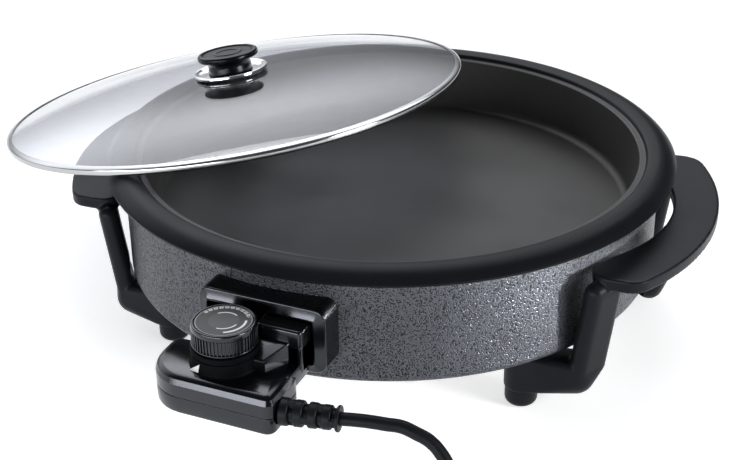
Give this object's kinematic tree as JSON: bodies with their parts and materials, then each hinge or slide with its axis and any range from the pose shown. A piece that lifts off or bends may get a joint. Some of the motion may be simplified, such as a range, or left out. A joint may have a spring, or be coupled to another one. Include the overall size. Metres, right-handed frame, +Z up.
{
  "type": "electric pan",
  "caption": "Round electric pizza pan with double wall, glass lid leaning open on its rim, moulded handles with legs, and a plug-in dial heat control on a cord.",
  "frame": {"origin": "on the table plane under the middle of the pan", "axes": "+Z up along the pan's axis, -Y towards the heat control, handles near +X and -X"},
  "size_m": [0.6283, 0.6242, 0.1659],
  "materials": {
    "nonstick": "satin non-stick coat",
    "hammertone": "hammertone",
    "sheet_steel": "plain",
    "bakelite": "satin",
    "gloss_black": "gloss",
    "ceramic": "glazed",
    "element_steel": "dull",
    "bright_steel": "bright",
    "brass": "plain",
    "lid_glass": "clear",
    "switch_board": "plain",
    "disc_grey": "printed",
    "rubber": "satin"
  },
  "bodies": {
    "pan_body": {"pan": "nonstick", "skirt": "hammertone", "base_plate": "sheet_steel", "base_screws": "bright_steel", "standoffs": "sheet_steel", "heating_element": "element_steel", "element_clips": "sheet_steel", "connector_pins": "brass", "pin_bushings": "ceramic", "probe_sleeve": "sheet_steel", "connector_shroud": "gloss_black", "shroud_screws": "bright_steel", "handle_right": "bakelite", "handle_left": "bakelite", "foot_front_right": "bakelite", "foot_back_right": "bakelite", "foot_front_left": "bakelite", "foot_back_left": "bakelite", "leg_screws": "bright_steel"},
    "lid_body": {"lid_glass": "lid_glass", "lid_rim": "bright_steel", "lid_knob": "gloss_black", "knob_ring": "bright_steel", "knob_washer": "bright_steel", "knob_screw": "bright_steel"},
    "control_body": {"control_top": "gloss_black", "control_bottom": "gloss_black", "control_screws": "bright_steel", "thermostat": "switch_board", "probe": "bright_steel", "contact_sockets": "brass", "strain_relief": "rubber", "cord": "rubber", "cord_coil": "rubber", "coil_tie": "rubber", "plug": "rubber", "plug_pins": "bright_steel"},
    "dial_body": {"dial": "gloss_black", "dial_disc": "disc_grey", "dial_shaft": "bright_steel"}
  },
  "joints": [
    {"name": "lid_lift", "type": "slide", "parent": "pan_body", "child": "lid_body", "axis": [0, 0, 1], "range_m": [0, 0.15]},
    {"name": "control_pull", "type": "slide", "parent": "pan_body", "child": "control_body", "axis": [0, -1, 0], "range_m": [0, 0.075]},
    {"name": "dial_turn", "type": "hinge", "parent": "control_body", "child": "dial_body", "pos_m": [-0.0099, -0.244, 0.1], "axis": [0, 0, 1], "range_deg": [0, 270]}
  ]
}
